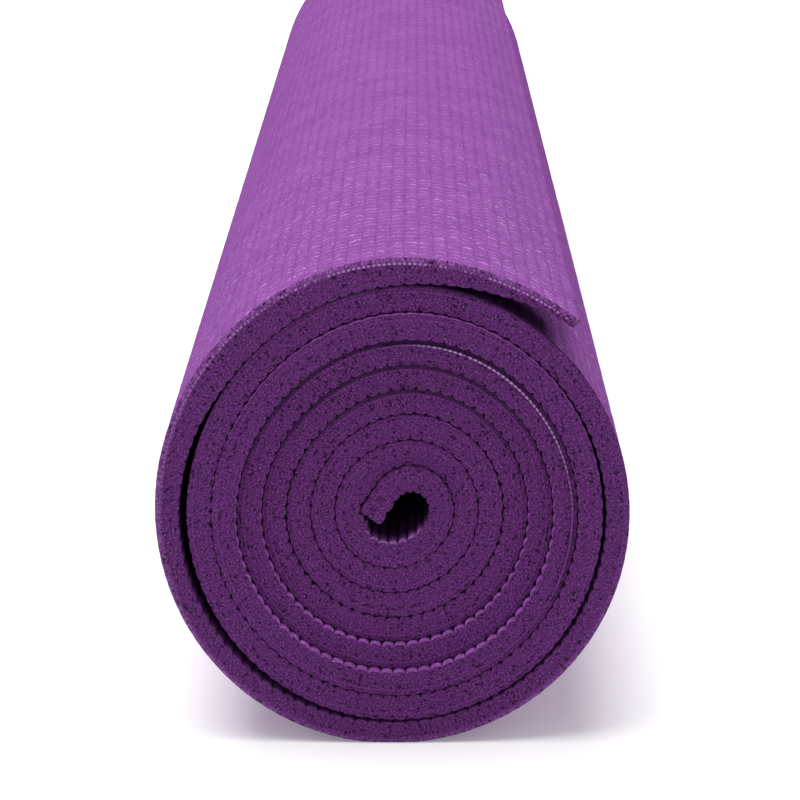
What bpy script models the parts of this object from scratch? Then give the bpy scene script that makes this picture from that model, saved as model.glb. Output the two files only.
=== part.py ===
"""A rolled exercise mat: three bonded plies wound into one spiral, with a free end that peels open."""

import math

import bmesh
import bpy
import numpy as np

# Flat mat, in metres
MAT_LENGTH = 1.727
MAT_WIDTH = 0.610

# Plies, from the outer face of the roll inwards
FACE_THICKNESS = 0.00125
SCRIM_THICKNESS = 0.00035
RIBBED_THICKNESS = 0.00314
PLY_GAP = 0.0003

# Ribs of the underside
RIB_PITCH = 0.00333
RIB_HEIGHT = 0.0006
RIB_CREST_SHARE = 0.5

# Winding; each turn in hangs lower than the turn round it by the sag
TURN_GAP = 0.00066
TURN_SAG = 0.00015
HOLLOW_RADIUS = 0.0063
CURL_RADIUS = 0.0041
CURL_ANGLE = math.radians(94)
FREE_END_ANGLE = math.radians(46.5)
HEIGHT_SHARE = 1.075

# The inner turns are oval round the straight tail
CORE_OVAL = 0.0008
CORE_OVAL_TURNS = 8
CORE_OVAL_ANGLE = math.radians(24)

# Edges of the turns
EDGE_WANDER = 0.0025
WANDER_MIDDLE_TURN = 4.3
WANDER_HALF_TURNS = 1.8

# Slack of the outer turn: height, place and half width of each bulge, in turns from the free end
END_LIFT = 0.0018
END_LIFT_TURNS = 0.09
LEFT_SLACK = 0.0016
LEFT_SLACK_TURNS = (0.425, 0.25)
RIGHT_SLACK = 0.0006
RIGHT_SLACK_TURNS = (0.83, 0.19)

# Free end, cut into strips that bend against each other
FLAP_STRIPS = 6
STRIP_RIBS = 5
HINGE_GAP = 0.0003
END_SLANT_SHARE = 0.3

# Resting strip and facets
REST_CUT = 0.0005
CUT_OVERRUN = 0.01
FACET_SAG = 0.00024
FACET_RIBS_MOST = 3
PATH_STEP = math.radians(0.5)
SHARP_ANGLE = math.radians(40)
CURL_STEPS = 40
TAIL_STEPS = 200
SOLVE_STEPS = 50

# Values that follow
SCRIM_DEPTH = FACE_THICKNESS + PLY_GAP
RIBBED_DEPTH = SCRIM_DEPTH + SCRIM_THICKNESS + PLY_GAP
MAT_THICKNESS = RIBBED_DEPTH + RIBBED_THICKNESS
BEND_DEPTH = SCRIM_DEPTH + SCRIM_THICKNESS / 2
TURN_PITCH = MAT_THICKNESS + TURN_GAP
RIB_COUNT = round(MAT_LENGTH / RIB_PITCH)
RIB_STEP = MAT_LENGTH / RIB_COUNT
FLAP_RIBS = FLAP_STRIPS * STRIP_RIBS

FOAM_PURPLE = (0.235, 0.062, 0.330)
CUT_PURPLE = (0.130, 0.028, 0.190)
SCRIM_WHITE = (0.620, 0.500, 0.680)


def clear_scene():
    for old in list(bpy.data.objects):
        bpy.data.objects.remove(old, do_unlink=True)


def material(name, colour, roughness):
    made = bpy.data.materials.new(name)
    made.use_nodes = True
    shader = made.node_tree.nodes["Principled BSDF"]
    shader.inputs["Base Color"].default_value = (*colour, 1)
    shader.inputs["Roughness"].default_value = roughness
    shader.inputs["Metallic"].default_value = 0
    return made


def bulge(turns, middle, half_width):
    """1 at the middle, falling smoothly to 0 at half a width away."""
    away = np.clip(np.abs(turns - middle) / half_width, 0, 1)
    return np.cos(away * math.pi / 2) ** 2


def slack(turns):
    """How far the outer turn stands off the turn below it, by turns from the free end."""
    lift = END_LIFT * np.clip(1 - turns / END_LIFT_TURNS, 0, 1) ** 2
    left = LEFT_SLACK * bulge(turns, *LEFT_SLACK_TURNS)
    right = RIGHT_SLACK * bulge(turns, *RIGHT_SLACK_TURNS)
    return lift + left + right


def oval(wound, angle):
    """How far the turns near the core bulge out along the oval's long way and in across it."""
    fade = np.clip(1 - wound / math.tau / CORE_OVAL_TURNS, 0, 1)
    return CORE_OVAL * fade * np.cos(2 * (angle - CORE_OVAL_ANGLE))


def spiral(sweep):
    """The wound stretch, free end first: places and headings as complex numbers, and turns."""
    wound = np.linspace(sweep, 0, int(sweep / PATH_STEP) + 1)
    turns = (sweep - wound) / math.tau
    angle = FREE_END_ANGLE + sweep - wound
    inner = HOLLOW_RADIUS + MAT_THICKNESS - BEND_DEPTH
    radius = inner + TURN_PITCH * wound / math.tau + slack(turns) + oval(wound, angle)
    places = radius * np.exp(1j * angle) - 1j * TURN_SAG * turns
    steps = np.gradient(places)
    return places, steps / np.abs(steps), turns


def curl(place, heading):
    """The tight bend inside the hollow, tangent to the spiral's inner end."""
    radius = CURL_RADIUS + MAT_THICKNESS - BEND_DEPTH
    bend = np.linspace(0, CURL_ANGLE, CURL_STEPS + 1)[1:]
    centre = place + 1j * heading * radius
    return centre - 1j * heading * radius * np.exp(1j * bend), heading * np.exp(1j * bend)


def distance_to_line(points, line):
    """The least distance from any of the points to a line of points."""
    start, run = line[:-1], np.diff(line)
    offset = points[:, None] - start[None, :]
    along = np.clip((offset * run.conj()).real / np.abs(run) ** 2, 0, 1)
    return np.abs(offset - along * run).min()


def tail_length(wall, place, heading):
    """How far the straight tail runs before its end would come within a turn gap of the wall."""
    outer_corner = place - 1j * heading * BEND_DEPTH
    runs = np.linspace(0, 2 * abs(place) + HOLLOW_RADIUS, TAIL_STEPS)
    clear = 0
    for run in runs:
        if distance_to_line(np.array([outer_corner + run * heading]), wall) < TURN_GAP:
            break
        clear = run
    return clear


def wind(sweep):
    """The whole path of the scrim from free end to inner end, with its headings and turns."""
    places, headings, turns = spiral(sweep)
    bent, bent_headings = curl(places[-1], headings[-1])
    one_turn = turns > turns[-1] - 1
    wall = (places + 1j * headings * (MAT_THICKNESS - BEND_DEPTH))[one_turn]
    run = tail_length(wall, bent[-1], bent_headings[-1])
    straight = bent[-1] + bent_headings[-1] * np.linspace(0, run, CURL_STEPS)[1:]
    places = np.concatenate([places, bent, straight])
    headings = np.concatenate([headings, bent_headings, np.full(len(straight), bent_headings[-1])])
    turns = np.concatenate([turns, np.full(len(bent) + len(straight), turns[-1])])
    return places, headings, turns


def path_length(places):
    return np.abs(np.diff(places)).sum()


def solved_path():
    """Winds the spiral so far that the mat's length is used up exactly."""
    least, most = 0, math.sqrt(2 * math.tau * MAT_LENGTH / TURN_PITCH)
    for _ in range(SOLVE_STEPS):
        middle = (least + most) / 2
        if path_length(wind(middle)[0]) < MAT_LENGTH:
            least = middle
        else:
            most = middle
    return wind(least)


PLACES, HEADINGS, TURNS = solved_path()
LENGTHS = np.concatenate([[0], np.cumsum(np.abs(np.diff(PLACES)))])


def on_path(lengths, values):
    return np.interp(lengths, LENGTHS, values.real) + 1j * np.interp(lengths, LENGTHS, values.imag)


def profile(lengths, depths):
    """Points at these lengths from the free end and depths from the face, as x + z * 1j round the axis."""
    normals = 1j * on_path(lengths, HEADINGS)
    points = on_path(lengths, PLACES) + normals / np.abs(normals) * (depths - BEND_DEPTH)
    return points.real + 1j * points.imag * HEIGHT_SHARE


OUTLINE = profile(LENGTHS, np.zeros(len(LENGTHS)))
CENTRE = complex((OUTLINE.real.max() + OUTLINE.real.min()) / 2, OUTLINE.imag.min() + REST_CUT)


def wander(lengths):
    """How far a turn's edge lies behind the edge of the outer turns."""
    turns = np.interp(lengths, LENGTHS, TURNS)
    return EDGE_WANDER * bulge(turns, WANDER_MIDDLE_TURN, WANDER_HALF_TURNS)


def facet_ribs(first, last):
    """The ribs at which facets start, closer together where the turn is tighter."""
    found = [first]
    while found[-1] < last:
        radius = abs(on_path(found[-1] * RIB_STEP, PLACES))
        ribs = round(math.sqrt(8 * radius * FACET_SAG) / RIB_STEP)
        found.append(min(found[-1] + max(1, min(ribs, FACET_RIBS_MOST)), last))
    return found


def trimmed(ribs, first, last, depth):
    """Rib numbers as lengths: half a hinge gap comes off each cut, and the free end slants."""
    lengths = np.array(ribs) * RIB_STEP
    lengths[0] += HINGE_GAP / 2 if first else END_SLANT_SHARE * depth
    lengths[-1] -= HINGE_GAP / 2 if last < RIB_COUNT else 0
    return lengths


def smooth_line(ribs, first, last, depth):
    """One point a facet, at one depth: lengths, depths and how many points each facet has."""
    lengths = trimmed(ribs, first, last, depth)
    return lengths, np.full(len(lengths), depth), [1] * (len(ribs) - 1)


def ribbed_line(ribs, first, last):
    """Two points a rib, its notch and its crest: lengths, depths and how many points each facet has."""
    notch = MAT_THICKNESS - RIB_HEIGHT
    steps, depths = [], []
    for rib in range(first, last):
        steps += [rib, rib + RIB_CREST_SHARE]
        depths += [notch, MAT_THICKNESS]
    lengths = trimmed(steps + [last], first, last, notch)
    return lengths, np.array(depths + [notch]), [2 * int(count) for count in np.diff(ribs)]


def add_line(shape, line, origin):
    """Rows of vertices for one side of a ply, at the near and far edges of the mat."""
    lengths, depths, _ = line
    points = profile(lengths, depths) - CENTRE
    shift = wander(lengths) - EDGE_WANDER / 2
    rows = []
    for side in (-MAT_WIDTH / 2, MAT_WIDTH / 2):
        rows.append(
            [
                shape.verts.new((p.real - origin[0], side + y - origin[1], p.imag - origin[2]))
                for p, y in zip(points, shift)
            ]
        )
    return rows


def add_skin(shape, rows):
    near, far = rows
    for i in range(len(near) - 1):
        shape.faces.new((near[i], near[i + 1], far[i + 1], far[i]))


def add_edges(shape, outer, inner, outer_line, inner_line):
    """The cut edges of the mat, one face a facet, and its two ends."""
    for side in range(2):
        i = j = 0
        for outer_steps, inner_steps in zip(outer_line[2], inner_line[2]):
            rim = outer[side][i : i + outer_steps + 1] + inner[side][j : j + inner_steps + 1][::-1]
            shape.faces.new(rim)
            i += outer_steps
            j += inner_steps
    for end in (0, -1):
        shape.faces.new((outer[0][end], outer[1][end], inner[1][end], inner[0][end]))


def ply(name, outer_line, inner_line, surface, parent, origin):
    """A closed solid between two lines of points, running from edge to edge of the mat."""
    shape = bmesh.new()
    outer = add_line(shape, outer_line, origin)
    inner = add_line(shape, inner_line, origin)
    add_skin(shape, outer)
    add_skin(shape, inner)
    add_edges(shape, outer, inner, outer_line, inner_line)
    bmesh.ops.recalc_face_normals(shape, faces=shape.faces)
    mesh = bpy.data.meshes.new(name)
    shape.to_mesh(mesh)
    shape.free()
    mesh.materials.append(surface)
    mesh.shade_smooth()
    mesh.set_sharp_from_angle(angle=SHARP_ANGLE)
    made = bpy.data.objects.new(name, mesh)
    bpy.context.scene.collection.objects.link(made)
    made.parent = parent
    return made


def laminate(suffix, first, last, surfaces, parent, origin=(0, 0, 0)):
    """The three plies of one stretch of the mat, between two ribs counted from the free end."""
    ribs = facet_ribs(first, last)
    face_top = smooth_line(ribs, first, last, 0)
    face_under = smooth_line(ribs, first, last, FACE_THICKNESS)
    scrim_top = smooth_line(ribs, first, last, SCRIM_DEPTH)
    scrim_under = smooth_line(ribs, first, last, SCRIM_DEPTH + SCRIM_THICKNESS)
    ribbed_top = smooth_line(ribs, first, last, RIBBED_DEPTH)
    ribbed_under = ribbed_line(ribs, first, last)
    face = ply(f"face_foam_{suffix}", face_top, face_under, surfaces["face"], parent, origin)
    ply(f"scrim_{suffix}", scrim_top, scrim_under, surfaces["scrim"], parent, origin)
    ply(f"ribbed_foam_{suffix}", ribbed_top, ribbed_under, surfaces["ribbed"], parent, origin)
    return face


def empty(name, place, parent):
    made = bpy.data.objects.new(name, None)
    bpy.context.scene.collection.objects.link(made)
    made.parent = parent
    made.location = place
    return made


def cut_resting_strip(face):
    """Cuts the outer turn flat where the roll lies on its side."""
    wide = OUTLINE.real.max() - OUTLINE.real.min()
    bpy.ops.mesh.primitive_cube_add(size=1)
    cutter = bpy.context.active_object
    cutter.name = "rest_cutter"
    cutter.scale = (wide, MAT_WIDTH + 2 * CUT_OVERRUN, CUT_OVERRUN)
    cutter.location = (0, 0, -CUT_OVERRUN / 2)
    cutter.hide_render = True
    cutter.display_type = "WIRE"
    cut = face.modifiers.new("rest", "BOOLEAN")
    cut.operation = "DIFFERENCE"
    cut.object = cutter


def hinge_place(rib):
    """A bending line of the free end: on the face, where two strips meet."""
    point = profile(np.array([rib * RIB_STEP]), np.zeros(1))[0] - CENTRE
    return point.real, 0, point.imag


def build_flap(surfaces, parent):
    """The free end as a chain of strips, each on an empty at its bending line."""
    above = (0, 0, 0)
    for number in range(1, FLAP_STRIPS + 1):
        first = FLAP_RIBS - number * STRIP_RIBS
        last = first + STRIP_RIBS
        place = hinge_place(last)
        step = tuple(here - before for here, before in zip(place, above))
        parent = empty(f"bend_{number}", step, parent)
        laminate(f"flap_{number}", first, last, surfaces, parent, place)
        print(f"bending line {number}: x {place[0]:.6f}, z {place[2]:.6f}")
        above = place


def print_least_gap():
    """Measures the wound mat against itself, on the points of its two faces."""
    ribs = facet_ribs(0, RIB_COUNT)
    outer = profile(*smooth_line(ribs, 0, RIB_COUNT, 0)[:2])
    inner = profile(*ribbed_line(ribs, 0, RIB_COUNT)[:2])
    gap = min(distance_to_line(inner, outer), distance_to_line(outer, inner))
    print(f"least gap between turns: {gap * 1000:.3f} mm")


def main():
    clear_scene()
    surfaces = {
        "face": material("face_foam", FOAM_PURPLE, 0.45),
        "scrim": material("scrim", SCRIM_WHITE, 0.6),
        "ribbed": material("ribbed_foam", CUT_PURPLE, 0.7),
    }
    roll = empty("mat_roll", (0, 0, 0), None)
    face = laminate("roll", FLAP_RIBS, RIB_COUNT, surfaces, roll)
    cut_resting_strip(face)
    build_flap(surfaces, roll)
    print(f"turns wound: {TURNS[-1]:.3f}")
    print(f"roll: {np.ptp(OUTLINE.real) * 1000:.1f} mm wide, {np.ptp(OUTLINE.imag) * 1000:.1f} mm high")
    print_least_gap()


main()
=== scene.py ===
"""Looks of a rolled exercise mat: its plies wound by the formula of its solids, with pillows, ribs, net and foam."""

import math

import bpy
import numpy as np
from mathutils import Euler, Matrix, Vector


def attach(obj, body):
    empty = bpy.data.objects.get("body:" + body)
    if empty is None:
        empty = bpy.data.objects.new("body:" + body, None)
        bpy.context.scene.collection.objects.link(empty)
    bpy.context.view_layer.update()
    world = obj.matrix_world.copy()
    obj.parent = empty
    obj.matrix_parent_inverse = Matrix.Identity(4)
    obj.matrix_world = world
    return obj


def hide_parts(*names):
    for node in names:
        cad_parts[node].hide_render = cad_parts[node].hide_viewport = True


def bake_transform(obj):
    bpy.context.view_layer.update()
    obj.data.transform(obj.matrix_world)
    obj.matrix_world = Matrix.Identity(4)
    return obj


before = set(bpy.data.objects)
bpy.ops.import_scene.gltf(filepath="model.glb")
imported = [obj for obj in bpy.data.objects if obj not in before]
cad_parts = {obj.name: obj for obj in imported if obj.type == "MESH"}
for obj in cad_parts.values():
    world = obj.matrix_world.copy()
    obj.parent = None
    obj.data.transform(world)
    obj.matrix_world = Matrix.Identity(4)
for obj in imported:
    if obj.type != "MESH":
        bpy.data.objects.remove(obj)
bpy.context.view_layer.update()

# Flat mat, in metres, as in the solids
MAT_LENGTH = 1.727
MAT_WIDTH = 0.610
FACE_THICKNESS = 0.00125
SCRIM_THICKNESS = 0.00035
RIBBED_THICKNESS = 0.00314
PLY_GAP = 0.0003
RIB_PITCH = 0.00333

# Winding, as in the solids, but with a wider curl and the turns pressed in a little at the upper left
TURN_GAP = 0.00066
TURN_SAG = 0.00015
HOLLOW_RADIUS = 0.0063
CURL_RADIUS = 0.0048
CURL_ANGLE = math.radians(94)
FREE_END_ANGLE = math.radians(46.5)
HEIGHT_SHARE = 1.075
EDGE_WANDER = 0.0025
CORE_OVAL = 0.0008
CORE_OVAL_TURNS = 8
CORE_OVAL_ANGLE = math.radians(24)
END_LIFT = 0.0018
END_LIFT_TURNS = 0.09
LEFT_SLACK = 0.0016
LEFT_SLACK_TURNS = (0.425, 0.25)
RIGHT_SLACK = 0.0006
RIGHT_SLACK_TURNS = (0.83, 0.19)
LEFT_PRESS = 0.0012
LEFT_PRESS_ANGLE = math.radians(137)
LEFT_PRESS_REACH = math.radians(62)
LEFT_PRESS_TURNS = (5.0, 7.0)
REST_CUT = 0.0005
PATH_STEP = math.radians(0.5)
CURL_STEPS = 40
TAIL_STEPS = 200
SOLVE_STEPS = 50

SCRIM_DEPTH = FACE_THICKNESS + PLY_GAP
MAT_THICKNESS = SCRIM_DEPTH + SCRIM_THICKNESS + PLY_GAP + RIBBED_THICKNESS
BEND_DEPTH = SCRIM_DEPTH + SCRIM_THICKNESS / 2
TURN_PITCH = MAT_THICKNESS + TURN_GAP
RIB_COUNT = round(MAT_LENGTH / RIB_PITCH)
RIB_STEP = MAT_LENGTH / RIB_COUNT

# Free end: strips of five ribs each, with seams this many ribs from the bending lines
FLAP_STRIPS = 6
STRIP_RIBS = 5
SEAM_BEFORE = 3
SEAM_AFTER = 2

# Where a strip's bend begins, in ribs from its bending line, and how far inside the seam it ends
BEND_BEFORE = 1.5
BEND_MARGIN = 0.0001

# Stretches of the face ply with every pillow modelled, up to this rib from the free end
OUTER_STRETCHES = 4
OUTER_LAST_RIB = 141

# Setbacks of the turns' edges, by turns from the free end: the middle turns lie deepest
SETBACK = 0.0066
SETBACK_TURNS = (0, 0.6, 1.1, 1.6, 2.1, 2.6, 3.1, 3.6, 4.1, 4.6, 5.1, 5.6, 6.1, 6.6, 7.1, 7.6, 8.0)
SETBACK_SHARES = (0, 0, 0.15, 0.03, 0.04, 0.06, 0.36, 0.40, 0.66, 0.68, 0.93, 0.71, 0.98, 0.76, 1.03, 0.81, 0.84)

# The cut end of the mat slants, as in the solids
END_SLANT_SHARE = 0.3
END_SLANT_RIBS = 3

# Pillows of the face: lengthwise grooves a rib apart, crosswise ones a row apart, and how uneven they are
PILLOW_ROWS = 174
PILLOW_PITCH = MAT_WIDTH / PILLOW_ROWS
PILLOW_SHARES = (0, 0.16, 0.5, 0.84)
PILLOW_POWER = 2.5
GROOVE_DEPTH = 0.00024
GROOVE_SPREAD = (0.35, 1.3)
CROSS_GROOVE_DEPTH = 0.00022
CROSS_GROOVE_SPREAD = (0.3, 1.3)
CROSS_GROOVE_DARKNESS = 0.7
ROW_BOW = 0.0007
EDGE_GROOVE_SHARE = 0.3
PILLOW_UNEVEN = 0.00006

# How the grooves waver: two waves across the width, each turned a little further in every rib
WAVER = 0.00016
WAVER_LENGTH = 0.021
WAVER_TURN = 2.4
SECOND_WAVER_SHARE = 0.7
SECOND_WAVER_ANGLE = 17
SECOND_WAVER_TURN = 2.3

# Scallops of the underside, shallow on the outer turn
SCALLOP_SHARES = (0, 0.035, 0.12, 0.28, 0.5, 0.72, 0.88, 0.965)
SCALLOP_DEPTHS = (0.0005, 0.00095, 0.00095, 0.00052, 0.0005, 0.0008)
SCALLOP_TURNS = (0.6, 3.0, 4.8, 5.3, 7.2, 7.4)
SCALLOP_UNEVEN = 0.25

# How nearly the crests lie on the next turn, with two waves along the mat, given in their angles a turn
TURN_CLEARANCE = 0.00002
TURN_UNEVEN = 0.00006
TURN_WAVES = (9.1, 23.3)
TURN_WAVE_START = 0.7

# How far in from a cut edge a face starts to round over
EDGE_ROUND = 0.0001

# Shade under a turn that stands further out: how far it reaches down for each metre of that step, and at the least
SHADE_SLOPE = 1.0
LEAST_SHADE = 1e-6

# Thickness of the foam where it isn't pressed between turns, by turns from the free end
LOOSE_FOAM = (
    (0, 0.0025), (0.006, 0.0025), (0.0185, 0.0027), (0.031, 0.0032), (0.045, 0.0039), (0.07, 0.0047), (0.095, 0.0055),
    (0.12, 0.0061), (0.22, 0.0076), (0.27, 0.0076), (0.31, 0.0068), (0.37, 0.0058), (0.425, 0.0053), (0.62, 0.0055),
    (0.85, 0.0057), (1.2, 0.0060), (6.9, 0.0060), (7.0, 0.0085), (7.4, 0.0085), (7.47, 0.0060),
)

# Plies as seen: foam fills the gaps that the solids keep, and the net's cross yarns end in beads
NET_DEPTH = 0.00135
PLY_SEAM = 0.00003
BEAD_PITCH = 0.00118
BEAD_SHARES = (0, 0.15, 0.35, 0.65, 0.85)
BEAD_HALF_THICKNESS = (0.00006, 0.00024)
BEAD_REACH = (-0.00025, 0.00018)
BEAD_ROUND = 0.999
LEAST_BEAD_SHARE = 1 / 20
NET_END_OUT = (0.0, 0.75, 1.0, 0.75, 0.0)
NET_END_UP = (-1.0, -0.75, 0.0, 0.75, 1.0)

# Cut edges: the outer turn's face leans back from the cut, and open cells pit the foam
FACE_LEAN = 0.0008
LEAN_TURNS = (0.9, 1.1)
LEAN_SHARES = (1, 0.62, 0.3, 0.1, 0)
FACE_CUT_SHARES = (0, 0.14, 0.38, 0.68, 1)
RIBBED_CUT_STEPS = 9
PIT_DEPTH = 0.00025
PIT_SIZES = (0.4, 1)
PIT_SHARE = 0.035
CUT_ROUGH = 0.00005

# Yarn that stands loose on the fourth turn, and the turns between which it comes in and goes out of sight
YARN_TURNS = (2.80, 3.14)
YARN_PITCH = 0.00124
YARN_RADIUS = (0.00013, 0.00028)
YARN_SIDES = 8
YARN_FADES = (2.84, 3.03, 3.06, 3.13)

# Lengths from the free end between which the net's beads are bare, each with a fade
NET_FADES = (-0.02, -0.01, 0.05, 0.17)

# Lengths from the free end over which the torn strokes of the outer turn fade out
FRINGE_LENGTHS = (0.24, 0.33)

# How far in from the cut edges the painted shade on the skin inside the roll begins, and where it is darkest
INSIDE_SHADE_START = 0.001
INSIDE_SHADE_FULL = 0.007

# Turns whose ribs get painted light at their cut edge, and those that are the floor of the hollow, painted as lit
LIT_TURNS = (1.97, 4.2)
HOLLOW_TURNS = (7.35, 7.78)

# Skin under the free end, in its painted shade: the turns over which that begins, and how far from the near edge it
# fades
FLAP_SHADE_TURNS = (0.998, 1.014)
FLAP_SHADE_REACH = (0.010, 0.020)

# Material slots of a piece, and the angle from which an edge is sharp
SKIN_SLOT = 0
CUT_SLOT = 1
SHARP_ANGLE = math.radians(50)

rng = np.random.default_rng(11)


def bulge(turns, middle, half_width):
    """1 at the middle, falling smoothly to 0 at half a width away."""
    away = np.clip(np.abs(turns - middle) / half_width, 0, 1)
    return np.cos(away * math.pi / 2) ** 2


def slack(turns):
    """How far the outer turn stands off the turn below it, by turns from the free end."""
    lift = END_LIFT * np.clip(1 - turns / END_LIFT_TURNS, 0, 1) ** 2
    left = LEFT_SLACK * bulge(turns, *LEFT_SLACK_TURNS)
    right = RIGHT_SLACK * bulge(turns, *RIGHT_SLACK_TURNS)
    return lift + left + right


def oval(wound, angle):
    """How far the turns near the core bulge out along the oval's long way and in across it."""
    fade = np.clip(1 - wound / math.tau / CORE_OVAL_TURNS, 0, 1)
    return CORE_OVAL * fade * np.cos(2 * (angle - CORE_OVAL_ANGLE))


def spiral(sweep):
    """The wound stretch from the free end inwards: places, headings and turns, as complex numbers round the axis."""
    wound = np.linspace(sweep, 0, int(sweep / PATH_STEP) + 1)
    turns = (sweep - wound) / math.tau
    angle = FREE_END_ANGLE + sweep - wound
    inner = HOLLOW_RADIUS + MAT_THICKNESS - BEND_DEPTH
    radius = inner + TURN_PITCH * wound / math.tau + slack(turns) + oval(wound, angle)
    places = radius * np.exp(1j * angle) - 1j * TURN_SAG * turns
    steps = np.gradient(places)
    return places, steps / np.abs(steps), turns


def curl(place, heading):
    """The tight bend inside the hollow, tangent to the spiral's inner end."""
    radius = CURL_RADIUS + MAT_THICKNESS - BEND_DEPTH
    bend = np.linspace(0, CURL_ANGLE, CURL_STEPS + 1)[1:]
    centre = place + 1j * heading * radius
    return centre - 1j * heading * radius * np.exp(1j * bend), heading * np.exp(1j * bend)


def distance_to_line(points, line):
    """The least distance from any of the points to a line of points."""
    start, run = line[:-1], np.diff(line)
    offset = points[:, None] - start[None, :]
    along = np.clip((offset * run.conj()).real / np.abs(run) ** 2, 0, 1)
    return np.abs(offset - along * run).min()


def tail_length(wall, place, heading):
    """How far the straight tail runs before its end would come within a turn gap of the wall."""
    outer_corner = place - 1j * heading * BEND_DEPTH
    clear = 0
    for run in np.linspace(0, 2 * abs(place) + HOLLOW_RADIUS, TAIL_STEPS):
        if distance_to_line(np.array([outer_corner + run * heading]), wall) < TURN_GAP:
            break
        clear = run
    return clear


def wind(sweep):
    """The whole path of the scrim from free end to inner end, with its headings and turns."""
    places, headings, turns = spiral(sweep)
    bent, bent_headings = curl(places[-1], headings[-1])
    one_turn = turns > turns[-1] - 1
    wall = (places + 1j * headings * (MAT_THICKNESS - BEND_DEPTH))[one_turn]
    run = tail_length(wall, bent[-1], bent_headings[-1])
    straight = bent[-1] + bent_headings[-1] * np.linspace(0, run, CURL_STEPS)[1:]
    places = np.concatenate([places, bent, straight])
    headings = np.concatenate([headings, bent_headings, np.full(len(straight), bent_headings[-1])])
    turns = np.concatenate([turns, np.full(len(bent) + len(straight), turns[-1])])
    return places, headings, turns


def solved_path():
    """Winds the spiral so far that the mat's length is used up exactly."""
    least, most = 0, math.sqrt(2 * math.tau * MAT_LENGTH / TURN_PITCH)
    for _ in range(SOLVE_STEPS):
        middle = (least + most) / 2
        if np.abs(np.diff(wind(middle)[0])).sum() < MAT_LENGTH:
            least = middle
        else:
            most = middle
    return wind(least)


PLACES, HEADINGS, TURNS = solved_path()
LENGTHS = np.concatenate([[0], np.cumsum(np.abs(np.diff(PLACES)))])


def pressed(places, turns):
    """The turns below the outer one, pressed in a little at the upper left."""
    angle = FREE_END_ANGLE + turns % 1 * math.tau
    share = bulge(angle, LEFT_PRESS_ANGLE, LEFT_PRESS_REACH) * (turns > 1)
    share = share * np.interp(turns, LEFT_PRESS_TURNS, (1, 0))
    return places * (1 - LEFT_PRESS * share / np.abs(places))


PLACES = pressed(PLACES, TURNS)


def on_path(lengths, values):
    return np.interp(lengths, LENGTHS, values.real) + 1j * np.interp(lengths, LENGTHS, values.imag)


def profile(lengths, depths):
    """Points at these lengths from the free end and depths from the face, as x + z * 1j round the axis."""
    normals = 1j * on_path(lengths, HEADINGS)
    points = on_path(lengths, PLACES) + normals / np.abs(normals) * (depths - BEND_DEPTH)
    return points.real + 1j * points.imag * HEIGHT_SHARE


OUTLINE = profile(LENGTHS, np.zeros(len(LENGTHS)))
CENTRE = complex((OUTLINE.real.max() + OUTLINE.real.min()) / 2, OUTLINE.imag.min() + REST_CUT)


def setback(lengths):
    """How far a turn's near edge lies behind the edge of the outer turn."""
    turns = np.interp(lengths, LENGTHS, TURNS)
    return SETBACK * np.interp(turns, SETBACK_TURNS, SETBACK_SHARES)


def shade(lengths, depths, across):
    """How deep a point of a near cut edge lies in the shade of the turn above, where that stands further out."""
    turns = np.interp(lengths, LENGTHS, TURNS)
    above = SETBACK * np.interp(turns - 1, SETBACK_TURNS, SETBACK_SHARES)
    step = np.clip(setback(lengths) - above, 0, None) * (turns > 1)
    upward = np.clip(np.sin(FREE_END_ANGLE + turns * math.tau), 0, 1)
    return np.clip(1 - depths / (SHADE_SLOPE * step * upward + LEAST_SHADE), 0, 1) * (across < 0)


def waver(lengths, depths, across):
    """How far the grooves of the face waver along the mat."""
    phase = WAVER_TURN * lengths / RIB_STEP
    second = np.sin(across / WAVER_LENGTH * SECOND_WAVER_ANGLE + SECOND_WAVER_TURN * phase)
    wave = np.sin(across / WAVER_LENGTH * math.tau + phase) + SECOND_WAVER_SHARE * second
    return WAVER * wave * np.clip(1 - depths / NET_DEPTH, 0, 1)


def end_slant(lengths, depths):
    """How much further in the cut end of the mat lies at each depth."""
    return END_SLANT_SHARE * depths * np.clip(1 - lengths / RIB_STEP / END_SLANT_RIBS, 0, 1)


def place(lengths, depths, across):
    """Points of the wound mat in the frame: length from the free end, depth from the face, place across the width."""
    points = profile(lengths + end_slant(lengths, depths) + waver(lengths, depths, across), depths) - CENTRE
    y = across + setback(lengths) - EDGE_WANDER / 2
    return np.stack([points.real, np.broadcast_to(y, points.shape), points.imag], axis=-1)


def rib_lengths(first, last, shares):
    """Lengths from the free end, at these shares of every rib."""
    ribs = np.arange(first, last)[:, None] + np.array(shares)[None, :]
    return np.append(ribs.ravel(), last) * RIB_STEP


def row_places(fine):
    """Places across the width, from edge to edge: at every pillow's shares, or at the edges alone."""
    last = MAT_WIDTH - EDGE_ROUND
    rows = (np.arange(PILLOW_ROWS + 1)[:, None] - 0.5 + np.array(PILLOW_SHARES)[None, :]).ravel() * PILLOW_PITCH
    inside = rows[(rows > EDGE_ROUND) & (rows < last)] if fine else []
    return np.concatenate([[0, EDGE_ROUND], inside, [last, MAT_WIDTH]]) - MAT_WIDTH / 2


ROW_UNEVEN = rng.normal(0, PILLOW_UNEVEN, (RIB_COUNT, PILLOW_ROWS + 2))
GROOVE_SHARES = rng.uniform(*GROOVE_SPREAD, (RIB_COUNT + 1, PILLOW_ROWS + 2))
CROSS_SHARES = rng.uniform(*CROSS_GROOVE_SPREAD, (RIB_COUNT, PILLOW_ROWS + 3))


def from_crest(share):
    """0 at the middle of a rib or pillow, 1 at its groove."""
    return np.abs(2 * (share % 1) - 1)


def rounding(across):
    """How much a face is drawn in at its two edges."""
    return np.where((across == across.min()) | (across == across.max()), EDGE_ROUND / 2, 0)


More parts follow.
